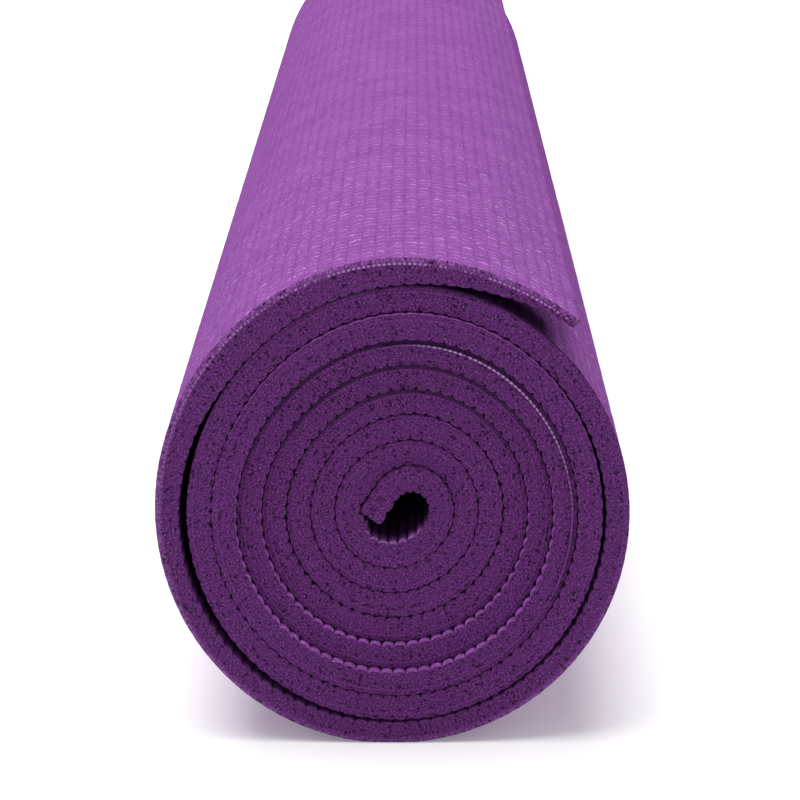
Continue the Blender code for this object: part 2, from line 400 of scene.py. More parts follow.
def inside_edges(across):
    """0 at the cut edges, 1 from one pillow inside them."""
    return np.clip((MAT_WIDTH / 2 - np.abs(across)) / PILLOW_PITCH, 0, 1)


def pillow_depth(lengths, across):
    """Depth of the face below its crests, and how far into a groove each point is."""
    rib, row = lengths / RIB_STEP, across / PILLOW_PITCH + PILLOW_ROWS / 2 + 0.5
    along = from_crest(rib)[:, None] ** PILLOW_POWER
    cross = from_crest(row)[None, :] ** PILLOW_POWER
    column = np.clip(np.floor(rib), 0, RIB_COUNT - 1).astype(int)[:, None]
    across_cell = np.floor(row).astype(int)[None, :]
    along = along * GROOVE_SHARES[np.round(rib).astype(int)[:, None], across_cell]
    cross = cross * CROSS_SHARES[column, np.round(row).astype(int)[None, :]]
    groove = GROOVE_DEPTH * along + CROSS_GROOVE_DEPTH * cross * np.clip(1 - along, 0, 1)
    uneven = ROW_UNEVEN[column, across_cell] * np.clip(1 - along, 0, 1) * np.clip(1 - cross, 0, 1)
    whole = EDGE_GROOVE_SHARE + (1 - EDGE_GROOVE_SHARE) * inside_edges(across)[None, :]
    depth = np.maximum(groove + uneven, 0) * whole + rounding(across)[None, :]
    return depth, np.maximum(along, CROSS_GROOVE_DARKNESS * cross)


def bow(lengths, across):
    """Curves the pillow rows within each column, but not at the cut edges."""
    return ROW_BOW * (1 - from_crest(lengths / RIB_STEP)[:, None] ** 2) * inside_edges(across)[None, :]


def next_turn_depths():
    """At each rib, how far below the face the next turn in begins."""
    face = PLACES - 1j * HEADINGS * BEND_DEPTH
    lengths = np.arange(RIB_COUNT + 1) * RIB_STEP
    points, turns = on_path(lengths, face), np.interp(lengths, LENGTHS, TURNS)
    away = np.abs(TURNS[None, :] - turns[:, None] - 1)
    return np.where(away < 0.5, np.abs(face[None, :] - points[:, None]), np.inf).min(axis=1)


NEXT_TURN_DEPTHS = next_turn_depths()
SCALLOP_SCALES = 1 + SCALLOP_UNEVEN * rng.uniform(-1, 1, RIB_COUNT + 1)


def crest_depth(lengths):
    """Depth of the underside's crests: as thick as the foam is, or nearly on the next turn."""
    turns = np.interp(lengths, LENGTHS, TURNS)
    loose = np.interp(turns, *zip(*LOOSE_FOAM))
    slow, quick = np.sin(TURN_WAVES[0] * turns + TURN_WAVE_START), np.sin(TURN_WAVES[1] * turns)
    uneven = 0.5 + 0.25 * slow + 0.25 * quick
    room = np.interp(lengths / RIB_STEP, np.arange(RIB_COUNT + 1), NEXT_TURN_DEPTHS)
    return np.minimum(loose, room - TURN_CLEARANCE - TURN_UNEVEN * uneven)


def scallop_depth(lengths, across, rows):
    """Depth of the underside's ribs from the face, and how far into a notch each point is."""
    rib = lengths / RIB_STEP
    size = np.interp(np.interp(lengths, LENGTHS, TURNS), SCALLOP_TURNS, SCALLOP_DEPTHS)
    size = size * SCALLOP_SCALES[np.round(rib).astype(int)]
    notch = (1 - np.sqrt(1 - np.minimum(from_crest(rib), 1) ** 2))[:, None]
    notch = np.broadcast_to(notch, (len(lengths), len(across)))
    if rows:
        cross = from_crest(across / PILLOW_PITCH + PILLOW_ROWS / 2 + 0.5)[None, :] ** PILLOW_POWER
        notch = np.maximum(notch, cross * CROSS_GROOVE_DEPTH / SCALLOP_DEPTHS[0])
    return crest_depth(lengths)[:, None] - size[:, None] * notch - rounding(across)[None, :], notch


def joined(sides):
    """A ring of sides as one: its places across, depths and grooves, and the material index of each of its faces."""
    across = np.concatenate([np.broadcast_to(y, d.shape)[:, :-1] for y, d, _, _ in sides], axis=1)
    depths = np.concatenate([d[:, :-1] for _, d, _, _ in sides], axis=1)
    grooves = np.concatenate([np.broadcast_to(g, d.shape)[:, :-1] for _, d, g, _ in sides], axis=1)
    slots = np.concatenate([np.full(d.shape[1] - 1, slot) for _, d, _, slot in sides])
    return across, depths, grooves, slots


def tube(rows, ring):
    """The quads between rings of points, and the corners and first corners of these quads and of two caps."""
    first = np.arange(rows - 1)[:, None] * ring
    near, step = first + np.arange(ring)[None, :], first + (np.arange(ring)[None, :] + 1) % ring
    quads = np.stack([near, step, step + ring, near + ring], axis=-1).reshape(-1, 4)
    corners = np.concatenate([quads.ravel(), np.arange(ring)[::-1], np.arange(ring) + (rows - 1) * ring])
    starts = np.concatenate([np.arange(len(quads)) * 4, len(quads) * 4 + np.array([0, ring])])
    return quads, corners, starts


def write_flat_map(mesh, lengths, across, depths, corners, on_skin):
    """Maps the faces to the flat mat: by length and place across on the skin, and by depth where it is cut."""
    in_caps = np.arange(len(corners)) >= len(corners) - 2 * depths.shape[1]
    flat_length = np.broadcast_to(lengths[:, None], depths.shape).ravel()[corners]
    flat_across, flat_depth = across.ravel()[corners], depths.ravel()[corners]
    u, v = np.where(in_caps, flat_across, flat_length), np.where(on_skin, flat_across, flat_depth)
    layer = mesh.uv_layers.new(name="flat")
    layer.data.foreach_set("uv", np.stack([u, v], axis=-1).astype(np.float32).ravel())


def write_attribute(mesh, name, values):
    """Keeps one value a point, for the materials to read."""
    made = mesh.attributes.new(name, "FLOAT", "POINT")
    made.data.foreach_set("value", values.astype(np.float32).ravel())


def swept(name, lengths, sides, materials, rest_cut=False):
    """A closed body: four sides in place across and depth, swept along the mat and capped at both ends.

    A side is (places across, depths, grooves, material index), each an array with a row for each length.
    The end of a side is the start of the next. The caps have the material of the second side.
    """
    across, depths, grooves, slots = joined(sides)
    points = place(lengths[:, None], depths, across)
    if rest_cut:
        points[..., 2] = np.maximum(points[..., 2], 0)
    rows, ring = depths.shape
    quads, corners, starts = tube(rows, ring)
    slots = np.tile(slots, rows - 1)

    mesh = bpy.data.meshes.new(name)
    mesh.vertices.add(rows * ring)
    mesh.vertices.foreach_set("co", points.astype(np.float32).ravel())
    mesh.loops.add(len(corners))
    mesh.loops.foreach_set("vertex_index", corners.astype(np.int32))
    mesh.polygons.add(len(starts))
    mesh.polygons.foreach_set("loop_start", starts.astype(np.int32))
    mesh.polygons.foreach_set("material_index", np.append(slots, [sides[1][3]] * 2).astype(np.int32))
    on_skin = np.append(np.repeat(slots != CUT_SLOT, 4), [False] * 2 * ring)
    write_flat_map(mesh, lengths, across, depths, corners, on_skin)
    write_attribute(mesh, "groove", grooves)
    write_attribute(mesh, "shade", shade(lengths[:, None], depths, across))
    mesh.update(calc_edges=True)
    mesh.validate()
    if signed_volume(points.reshape(-1, 3), quads) < 0:
        mesh.flip_normals()
    for surface in materials:
        mesh.materials.append(surface)
    mesh.shade_smooth()
    mesh.set_sharp_from_angle(angle=SHARP_ANGLE)
    made = bpy.data.objects.new(name, mesh)
    bpy.context.scene.collection.objects.link(made)
    return made


def signed_volume(points, quads):
    centred = points - points.mean(axis=0)
    a, b, c, d = (centred[quads[:, i]] for i in range(4))
    return float((a * np.cross(b, c)).sum() + (a * np.cross(c, d)).sum())


def cut_side(lengths, side, depths, lean):
    """A cut edge of foam: its depths, how far each is set back, and open cells that pit it."""
    depths = np.broadcast_to(depths, (len(lengths), depths.shape[-1]))
    open_cells = rng.uniform(0, 1, depths.shape) < PIT_SHARE
    sizes = rng.uniform(*PIT_SIZES, depths.shape) * open_cells
    rough = rng.uniform(0, CUT_ROUGH, depths.shape)
    for edge in (0, -1):
        sizes[:, edge] = rough[:, edge] = 0
        sizes[edge] = rough[edge] = 0
    return side * (MAT_WIDTH / 2 - lean - rough - PIT_DEPTH * sizes), depths, sizes, CUT_SLOT


def face_lean(lengths):
    """How far the face stops short of the cut: on the outer turn alone."""
    return FACE_LEAN * np.interp(np.interp(lengths, LENGTHS, TURNS), LEAN_TURNS, (1, 0))


def leaned(lengths, across):
    """Places across the face, drawn in at both ends by the lean."""
    half = MAT_WIDTH / 2
    lean = face_lean(lengths)[:, None]
    near_end = np.clip((np.abs(across) - half + PILLOW_PITCH) / PILLOW_PITCH, 0, 1)
    return across - np.sign(across) * lean * near_end


def face_cut(lengths, side, outer):
    """The face ply's cut edge, rounded back towards the face."""
    shares = np.array(FACE_CUT_SHARES)[None, :]
    depths = outer[:, None] * (1 - shares) + (NET_DEPTH - PLY_SEAM) * shares
    return cut_side(lengths, side, depths, face_lean(lengths)[:, None] * np.array(LEAN_SHARES)[None, :])


def turned(side):
    """A side read from its other end."""
    across, depths, grooves, slot = side
    return across[:, ::-1], depths[:, ::-1], grooves[:, ::-1], slot


def face_ply(name, first, last, fine):
    """The patterned foam ply of one stretch, in ribs from the free end."""
    lengths = rib_lengths(first, last, PILLOW_SHARES)
    across = row_places(fine)
    if fine:
        outer, grooves = pillow_depth(lengths, across)
        places = leaned(lengths, across[None, :]) + bow(lengths, across)
    else:
        grooves = np.repeat(from_crest(lengths / RIB_STEP)[:, None] ** PILLOW_POWER, len(across), axis=1)
        outer = GROOVE_DEPTH * grooves + rounding(across)[None, :]
        places = leaned(lengths, across[None, :])
    under = np.full((len(lengths), 2), NET_DEPTH - PLY_SEAM)
    half = MAT_WIDTH / 2
    sides = [
        (places, outer, grooves, SKIN_SLOT),
        face_cut(lengths, 1, outer[:, -1]),
        (np.array([[half, -half]]), under, 0.0, SKIN_SLOT),
        turned(face_cut(lengths, -1, outer[:, 0])),
    ]
    return swept(name, lengths, sides, (SKIN if fine else UNDER, CUT), rest_cut=True)


def ribbed_ply(name, first, last, rows):
    """The scalloped foam ply of one stretch; rows breaks its ribs into pillows."""
    lengths = rib_lengths(first, last, SCALLOP_SHARES)
    across = row_places(rows)[::-1]
    under, grooves = scallop_depth(lengths, across, rows)
    top = np.full((len(lengths), 2), NET_DEPTH + PLY_SEAM)
    half = MAT_WIDTH / 2
    shares = np.linspace(0, 1, RIBBED_CUT_STEPS + 1)[None, :]
    depths = (NET_DEPTH + PLY_SEAM) * (1 - shares) + under[:, :1] * shares
    sides = [
        (np.array([[-half, half]]), top, 0.0, SKIN_SLOT),
        cut_side(lengths, 1, depths, 0),
        (np.repeat(across[None, :], len(lengths), axis=0), under, grooves, SKIN_SLOT),
        turned(cut_side(lengths, -1, depths, 0)),
    ]
    return swept(name, lengths, sides, (SKIN if rows else UNDER, CUT))


def bead_lengths(first, last, pitch):
    """Lengths at the shares of each bead between two lengths."""
    numbers = np.arange(math.floor(first / pitch), math.ceil(last / pitch))
    lengths = ((numbers[:, None] + np.array(BEAD_SHARES)[None, :]) * pitch).ravel()
    least = pitch * LEAST_BEAD_SHARE
    inside = (lengths > first + least) & (lengths < last - least)
    return np.concatenate([[first], lengths[inside], [last]])


def bead(lengths, pitch, sizes):
    """A size that swells once in each pitch."""
    swell = np.sqrt(1 - (2 * (lengths / pitch % 1) - 1) ** 2 * BEAD_ROUND)
    return sizes[0] + (sizes[1] - sizes[0]) * swell


def net_ply(name, first, last):
    """The net between the foams of one stretch: its cross yarns end as beads in the cut edges."""
    lengths = bead_lengths(first * RIB_STEP, last * RIB_STEP, BEAD_PITCH)
    thick = bead(lengths, BEAD_PITCH, BEAD_HALF_THICKNESS)[:, None]
    reach = bead(lengths, BEAD_PITCH, BEAD_REACH)[:, None]
    half = MAT_WIDTH / 2
    out, up = np.array([NET_END_OUT]), np.array([NET_END_UP])
    face = np.array([[-half, half]])
    sides = [
        (face, NET_DEPTH - np.repeat(thick, 2, axis=1), 0.0, SKIN_SLOT),
        (half + reach * out, NET_DEPTH + thick * up, 0.0, SKIN_SLOT),
        (-face, NET_DEPTH + np.repeat(thick, 2, axis=1), 0.0, SKIN_SLOT),
        (-half - reach * out, NET_DEPTH - thick * up, 0.0, SKIN_SLOT),
    ]
    return swept(name, lengths, sides, (NET, NET))


def loose_yarn(name):
    """The net's yarn where it stands proud of the fourth turn's near edge, as a beaded tube."""
    lengths = bead_lengths(*np.interp(YARN_TURNS, TURNS, LENGTHS), YARN_PITCH)
    radius = bead(lengths, YARN_PITCH, YARN_RADIUS)[:, None]
    turn = np.linspace(0, math.tau, YARN_SIDES + 1)[None, :]
    middle = -MAT_WIDTH / 2 - BEAD_REACH[1] - YARN_RADIUS[1]
    across, depths = middle - radius * np.cos(turn), NET_DEPTH + radius * np.sin(turn)
    quarter = YARN_SIDES // 4
    sides = [
        (across[:, i : i + quarter + 1], depths[:, i : i + quarter + 1], 0.0, SKIN_SLOT)
        for i in range(0, YARN_SIDES, quarter)
    ]
    return swept(name, lengths, sides, (YARN, YARN))


# Materials

MILLIMETRES = (1000, 1000)
METRES = (1, 1)

# Noises are given as scale, detail and roughness, cells as a scale alone, and the coordinates of some are stretched
# first. A span holds the two values between which what it stands for comes in or goes.

# Skin: slow clouds, fine grain and glints
CLOUDS = (0.05, 3)
CLOUD_SPAN = (0.3, 0.7)
SKIN_GRAIN = (1.8, 3, 0.65)
SKIN_GRAIN_SPAN = (0.35, 0.75)
ROUGH_SPAN = (0.3, 0.7)
GLINT_CELLS = 1.1
GLINT_SPAN = (0.10, 0.24)
GLINT_CHANCE_SPAN = (0.72, 0.86)

# Wrinkles of the face, drawn as painted highlights on their crests and painted shade in the hollows behind: how they
# bow within a rib, drift across the rows, fray and break off, in rows
WRINKLE_ARCH = -0.42
WRINKLE_ARCH_POWER = 0.7
WRINKLE_DRIFT = (0.7, 3, 0.7)
WRINKLE_DRIFT_ROWS = 2.1
WRINKLE_RAGGEDNESS = (3.2, 2, 0.6)
WRINKLE_RAGGED_ROWS = 0.5
WRINKLE_BREAKS = (1.3, 3, 0.65)
WRINKLE_BREAK_SPAN = (0.40, 0.62)
WRINKLE_GROOVE_SPAN = (0.03, 0.14)
CREST_BAND = (0.28, 0.42, 0.46, 0.66)
HOLLOW_BAND = (0.62, 0.78, 0.86, 1.0)

# Skin inside the roll: patches of painted light on the ledges, and painted glints there and on the floor of the
# hollow
LEDGE_PATCH_SCALE = (180, 180)
LEDGE_PATCHES = (1.0, 2)
LEDGE_PATCH_SPAN = (0.38, 0.62, 0.25, 1.0)
INSIDE_GLINT_SPOTS = (0.8, 2)
LEDGE_SPOT_SPAN = (0.60, 0.70)
FLOOR_SPOT_SPAN = (0.45, 0.62)

# Cut foam: three sizes of grain, pale flecks, torn strokes and the shade of the turn above
CUT_GRAIN = (2.0, 2, 0.6)
CUT_GRAIN_SPAN = (0.34, 0.64)
CUT_FINE_GRAIN = (3.3, 1, 0.5)
CUT_FINE_SPAN = (0.42, 0.60)
CUT_COARSE_GRAIN = (0.5, 2, 0.5)
CUT_COARSE_SPAN = (0.35, 0.7)
FLECK_SPAN = (0.58, 0.72)
STROKE_SCALE = (1750, 850)
STROKES = (1.0, 2, 0.6)
STROKE_SPAN = (0.40, 0.60)
SHADE_SPAN = (0.0, 0.72)

# Pores: how large each may be, how ragged they are, what the net adds to their size, and how much grain a pit needs
PORE_CELLS = 1.0
PORE_SIZE_SPAN = (0.40, 1.0, 0.0, 0.36)
PORE_RAGGEDNESS = 0.6
PORE_EDGE_SPAN = (-0.05, 0.08)
NET_PORE_GROWTH = 0.12
PIT_GRAIN = 0.9
PIT_SPAN = (0.80, 1.10)
FINE_PORE_CELLS = 2.0
FINE_PORE_SPAN = (0.16, 0.36)
FINE_PORE_CHANCE_SPAN = (0.45, 0.65)
NOISE_MEAN = 0.5

# Threads: fibres along them, foam that covers stretches and ends, and dark gaps between the beads
FIBRE_SCALE = (1500, 9000)
FIBRES = (1.0, 2, 0.6)
FIBRE_SPAN = (0.3, 0.7)
STRETCH_SCALE = (45, 1)
STRETCHES = (1.0, 2)
THREAD_END_SCALE = (850, 1)
THREAD_ENDS = (1.0, 1)
THREAD_END_SHARE = 0.8
THREAD_COVER_SPAN = (0.94, 1.14)
BEAD_GAP_SPAN = (0.02, 0.28)

# Where the wrinkles' painted highlights and shade on the face are weaker: how far from the middle of its width, and
# how much of them is left there
WRINKLE_LIGHT_REACH = (0.08, 0.27)
WRINKLE_LIGHT_LEAST = 0.45

# Base colours, from dark to light
SKIN_TINTS = ((0.230, 0.073, 0.290), (0.262, 0.089, 0.323))
CUT_TINTS = ((0.041, 0.0045, 0.057), (0.148, 0.029, 0.192))
FRINGE_TINTS = ((0.095, 0.020, 0.130), (0.250, 0.080, 0.320))
NET_TINTS = ((0.125, 0.026, 0.163), (0.38, 0.17, 0.46))
YARN_TINTS = ((0.13, 0.034, 0.17), (0.50, 0.30, 0.56))

# Tints laid over them, each with its greatest share
GRAIN_TINT = ((0.165, 0.042, 0.217), 0.4)
WRINKLE_SHADE_TINT = ((0.130, 0.031, 0.174), 0.4)
CREST_HIGHLIGHT_TINT = ((0.60, 0.32, 0.68), 0.68)
GROOVE_DUST_AND_SHADE_TINT = ((0.120, 0.029, 0.162), 0.36)
GLINT_TINT = ((0.62, 0.30, 0.76), 0.75)
FLAP_SHADE_TINT = ((0.020, 0.004, 0.028), 0.85)
CREVICE_SHADE_TINT = ((0.046, 0.007, 0.064), 0.65)
DEEP_SHADE_TINT = ((0.022, 0.003, 0.033), 0.85)
LEDGE_LIGHT_TINT = ((0.40, 0.085, 0.48), 0.6)
INSIDE_GLINT_TINT = ((0.52, 0.28, 0.62), 0.8)
CUT_FINE_TINT = ((0.064, 0.008, 0.088), 0.55)
CUT_COARSE_TINT = ((0.084, 0.014, 0.114), 0.25)
FLECK_TINT = ((0.27, 0.080, 0.33), 0.7)
FINE_PORE_SHADE_TINT = ((0.020, 0.002, 0.029), 0.75)
PORE_SHADE_TINT = ((0.024, 0.003, 0.036), 1.0)
SHADE_TINT = ((0.010, 0.0014, 0.015), 0.8)
FRINGE_SHARE = 0.75

# Lengths over which the lit stretches inside the roll come in and end, and the lit ledge by the cut, in metres
LIT_FADE = 0.04
HOLLOW_FADES = (0.01, 0.004)
LEDGE_REACH = (0.0026, 0.0008)

# Cut edge, in millimetres: the pores beside the net, and how deep the torn strokes reach
NET_PORE_BAND = (1.4, 1.8, 2.4, 2.9)
FRINGE_REACH = 2.1
FRINGE_REACH_LOSS = -0.6
FRINGE_FADE = 0.8
NEAR_END_LENGTHS = (45, 90)

# Roughness, from the grain's hollows to its tops or as one value, and the gloss that goes with it
SKIN_ROUGHNESS = (0.46, 0.62)
INSIDE_ROUGHNESS = (0.55, 0.7)
NO_GLOSS = 0.0
CUT_SURFACE = (0.72, 0.15)
THREAD_SURFACE = (0.55, 0.1)

# Heights of the bumps, in metres, and what pores and crests add to the grain
SKIN_BUMP = 0.00012
CUT_BUMP = 0.00035
THREAD_BUMP = 0.00005
CREST_BUMP = 1.5
PORE_BUMP = 1.2


def socket(value):
    return isinstance(value, bpy.types.NodeSocket)


class Nodes:
    """Short ways to build a node tree."""

    def __init__(self, name):
        self.made = bpy.data.materials.new(name)
        self.made.use_nodes = True
        self.tree = self.made.node_tree
        self.shader = self.tree.nodes["Principled BSDF"]

    def put(self, node, index, value):
        if socket(value):
            self.tree.links.new(value, node.inputs[index])
        else:
            node.inputs[index].default_value = value

    def math(self, operation, *values):
        node = self.tree.nodes.new("ShaderNodeMath")
        node.operation = operation
        for index, value in enumerate(values):
            self.put(node, index, value)
        return node.outputs[0]

    def times(self, *values):
        """The product of all the values."""
        product = values[0]
        for value in values[1:]:
            product = self.math("MULTIPLY", product, value)
        return product

    def flat(self, scale):
        """The mat's own flat coordinates, in this many units a metre."""
        uv = self.tree.nodes.new("ShaderNodeUVMap")
        uv.uv_map = "flat"
        node = self.tree.nodes.new("ShaderNodeMapping")
        self.put(node, "Vector", uv.outputs[0])
        self.put(node, "Scale", (scale[0], scale[1], 1))
        return node.outputs[0]

    def object_places(self):
        return self.tree.nodes.new("ShaderNodeTexCoord").outputs["Object"]

    def part(self, vector, index):
        node = self.tree.nodes.new("ShaderNodeSeparateXYZ")
        self.put(node, 0, vector)
        return node.outputs[index]

    def attribute(self, name):
        node = self.tree.nodes.new("ShaderNodeAttribute")
        node.attribute_name = name
        return node.outputs["Fac"]

    def noise(self, vector, scale, detail=2, roughness=0.5):
        node = self.tree.nodes.new("ShaderNodeTexNoise")
        self.put(node, "Vector", vector)
        self.put(node, "Scale", scale)
        self.put(node, "Detail", detail)
        self.put(node, "Roughness", roughness)
        return node.outputs["Fac"]

    def cells(self, vector, scale):
        """Distance to the middle of each cell, and a random value for it."""
        node = self.tree.nodes.new("ShaderNodeTexVoronoi")
        self.put(node, "Vector", vector)
        self.put(node, "Scale", scale)
        return node.outputs["Distance"], node.outputs["Color"]

    def span(self, value, low, high, first=0.0, last=1.0, smooth=True):
        """The first value up to low, the last one from high, and a smooth way between them."""
        node = self.tree.nodes.new("ShaderNodeMapRange")
        node.interpolation_type = "SMOOTHSTEP" if smooth else "LINEAR"
        for index, entry in enumerate((value, low, high, first, last)):
            self.put(node, index, entry)
        return node.outputs[0]

    def fade(self, value, low, high):
        """1 up to low, 0 from high."""
        return self.span(value, low, high, 1.0, 0.0)

    def band(self, value, start, full, last, end):
        """1 between full and last, 0 outside start and end."""
        return self.times(self.span(value, start, full), self.fade(value, last, end))

    def mix(self, share, first, last):
        node = self.tree.nodes.new("ShaderNodeMix")
        node.data_type = "RGBA"
        self.put(node, 0, share)
        self.put(node, 6, first if socket(first) else (*first, 1))
        self.put(node, 7, last if socket(last) else (*last, 1))
        return node.outputs[2]

    def tinted(self, colour, share, tint, most):
        """A colour with a tint laid over it, at this share of the most it may have."""
        return self.mix(self.times(share, most), colour, tint)

    def finish(self, colour, roughness, gloss, height, distance):
        """Puts colour, roughness, gloss and a bump of this height on the shader, and gives the material."""
        self.put(self.shader, "Base Color", colour)
        self.put(self.shader, "Roughness", roughness)
        self.put(self.shader, "Specular IOR Level", gloss)
        node = self.tree.nodes.new("ShaderNodeBump")
        self.put(node, "Height", height)
        self.put(node, "Distance", distance)
        self.put(node, "Strength", 1.0)
        self.tree.links.new(node.outputs[0], self.shader.inputs["Normal"])
        return self.made


def wrinkles(n):
    """Broken crosswise crests, one a pillow, that bow within each rib, and the hollows behind them: where painted
    highlights and painted shade go, the crests also bumped.
    """
    cells = n.flat((1 / RIB_STEP, 1 / PILLOW_PITCH))
    from_groove = n.math("PINGPONG", n.part(cells, 0), 0.5)
    arch = n.times(n.math("POWER", from_groove, WRINKLE_ARCH_POWER), WRINKLE_ARCH)
    drift = n.noise(cells, *WRINKLE_DRIFT)
    row = n.math("ADD", n.math("MULTIPLY_ADD", drift, WRINKLE_DRIFT_ROWS, arch), n.part(cells, 1))
    row = n.math("MULTIPLY_ADD", n.noise(cells, *WRINKLE_RAGGEDNESS), WRINKLE_RAGGED_ROWS, row)
    share = n.math("FRACT", row)
    crest, hollow = n.band(share, *CREST_BAND), n.band(share, *HOLLOW_BAND)
    broken = n.span(n.noise(cells, *WRINKLE_BREAKS), *WRINKLE_BREAK_SPAN)
    whole = n.span(from_groove, *WRINKLE_GROOVE_SPAN)
    return n.times(crest, broken, whole), n.times(hollow, broken)


def skin_colour(n):
    """The foam's tint: slow clouds and fine grain, painted highlights on crosswise wrinkles with painted shade behind
    them, and dust and painted shade in the grooves.
    """
    flat = n.flat(MILLIMETRES)
    grain = n.noise(flat, *SKIN_GRAIN)
    crests, hollows = wrinkles(n)
    wrinkle_light = n.span(n.math("ABSOLUTE", n.part(n.flat(METRES), 1)), *WRINKLE_LIGHT_REACH, WRINKLE_LIGHT_LEAST, 1.0)
    colour = n.mix(n.span(n.noise(flat, *CLOUDS), *CLOUD_SPAN), *SKIN_TINTS)
    colour = n.tinted(colour, n.span(grain, *SKIN_GRAIN_SPAN), *GRAIN_TINT)
    # Painted shade in the wrinkles' hollows and painted highlights on their crests, both weaker in the middle of the
    # width
    colour = n.tinted(colour, n.times(hollows, wrinkle_light), *WRINKLE_SHADE_TINT)
    colour = n.tinted(colour, n.times(crests, wrinkle_light), *CREST_HIGHLIGHT_TINT)
    # Dust and painted shade in the grooves
    colour = n.tinted(colour, n.attribute("groove"), *GROOVE_DUST_AND_SHADE_TINT)
    height = n.math("MULTIPLY_ADD", crests, CREST_BUMP, grain)
    return colour, height, grain


def skin_material():
    """Matte vinyl foam with a fine grain, small glints, and painted shade where the free end lies over it."""
    n = Nodes("foam_skin")
    colour, height, grain = skin_colour(n)
    distance, chance = n.cells(n.flat(MILLIMETRES), GLINT_CELLS)
    glints = n.times(n.fade(distance, *GLINT_SPAN), n.span(n.part(chance, 1), *GLINT_CHANCE_SPAN))
    colour = n.tinted(colour, glints, *GLINT_TINT)
    flat = n.flat(METRES)
    # Painted shade of the free end on the skin below it, near the near edge
    covered = n.span(n.part(flat, 0), *np.interp(FLAP_SHADE_TURNS, TURNS, LENGTHS).tolist())
    from_edge = n.math("ADD", n.part(flat, 1), MAT_WIDTH / 2)
    colour = n.tinted(colour, n.times(covered, n.fade(from_edge, *FLAP_SHADE_REACH)), *FLAP_SHADE_TINT)
    return n.finish(colour, n.span(grain, *ROUGH_SPAN, *SKIN_ROUGHNESS), NO_GLOSS, height, SKIN_BUMP)


def under_material():
    """The skin inside the roll, in painted shade: lighter by the cut edges, darker further in, with painted light on
    the lit ledges and the floor of the hollow.
    """
    n = Nodes("foam_inside")
    colour, height, grain = skin_colour(n)
    flat = n.flat(METRES)
    length, across = n.part(flat, 0), n.math("ABSOLUTE", n.part(flat, 1))
    start, end, hollow, last = np.interp([*LIT_TURNS, *HOLLOW_TURNS], TURNS, LENGTHS).tolist()
    floor = n.band(length, hollow, hollow + HOLLOW_FADES[0], last - HOLLOW_FADES[1], last)
    lit = n.math("ADD", n.band(length, start - LIT_FADE, start, end, end + LIT_FADE), floor)
    # Painted shade in the crevices, except on the lit ledges and the floor of the hollow
    colour = n.tinted(colour, n.math("SUBTRACT", 1.0, lit), *CREVICE_SHADE_TINT)
    # Painted shade, darker further in from the cut edges
    deep = n.fade(across, MAT_WIDTH / 2 - INSIDE_SHADE_FULL, MAT_WIDTH / 2 - INSIDE_SHADE_START)
    colour = n.tinted(colour, deep, *DEEP_SHADE_TINT)
    edge = n.span(across, *(MAT_WIDTH / 2 - reach for reach in LEDGE_REACH))
    patches = n.span(n.noise(n.flat(LEDGE_PATCH_SCALE), *LEDGE_PATCHES), *LEDGE_PATCH_SPAN)
    # Painted light on the ledges by the cut edge
    colour = n.tinted(colour, n.times(edge, lit, patches), *LEDGE_LIGHT_TINT)
    # Painted glints on the lit ledges and the floor of the hollow
    spots = n.noise(n.flat(MILLIMETRES), *INSIDE_GLINT_SPOTS)
    on_floor = n.times(n.span(spots, *FLOOR_SPOT_SPAN), floor)
    on_ledges = n.times(n.span(spots, *LEDGE_SPOT_SPAN), lit, patches)
    colour = n.tinted(colour, n.times(edge, n.math("MAXIMUM", on_floor, on_ledges)), *INSIDE_GLINT_TINT)
    return n.finish(colour, n.span(grain, *ROUGH_SPAN, *INSIDE_ROUGHNESS), NO_GLOSS, height, SKIN_BUMP)


def fringe_share(n, flat):
    """Where the outer turn's cut edge is torn: from the face down, less deep close to the free end."""
    outer_turn = n.fade(n.part(flat, 0), *(MILLIMETRES[0] * length for length in FRINGE_LENGTHS))
    near_end = n.fade(n.part(flat, 0), *NEAR_END_LENGTHS)
    reach = n.math("MULTIPLY_ADD", near_end, FRINGE_REACH_LOSS, FRINGE_REACH)
    return n.times(n.fade(n.part(flat, 1), n.math("SUBTRACT", reach, FRINGE_FADE), reach), outer_turn)


def pore_share(n, flat, grain):
    """Open cells of the cut foam, larger beside the net, and the pits of its mesh: where painted shade darkens the
    holes and the bump sinks.
    """
    distance, chance = n.cells(flat, PORE_CELLS)
    size = n.span(n.part(chance, 0), *PORE_SIZE_SPAN, smooth=False)
    size = n.math("MULTIPLY_ADD", n.band(n.part(flat, 1), *NET_PORE_BAND), NET_PORE_GROWTH, size)
    ragged = n.math("MULTIPLY_ADD", n.math("SUBTRACT", grain, NOISE_MEAN), PORE_RAGGEDNESS, distance)
    pores = n.span(n.math("SUBTRACT", size, ragged), *PORE_EDGE_SPAN)
    pits = n.span(n.math("MULTIPLY_ADD", grain, PIT_GRAIN, n.attribute("groove")), *PIT_SPAN)
    return n.math("MAXIMUM", pores, pits)


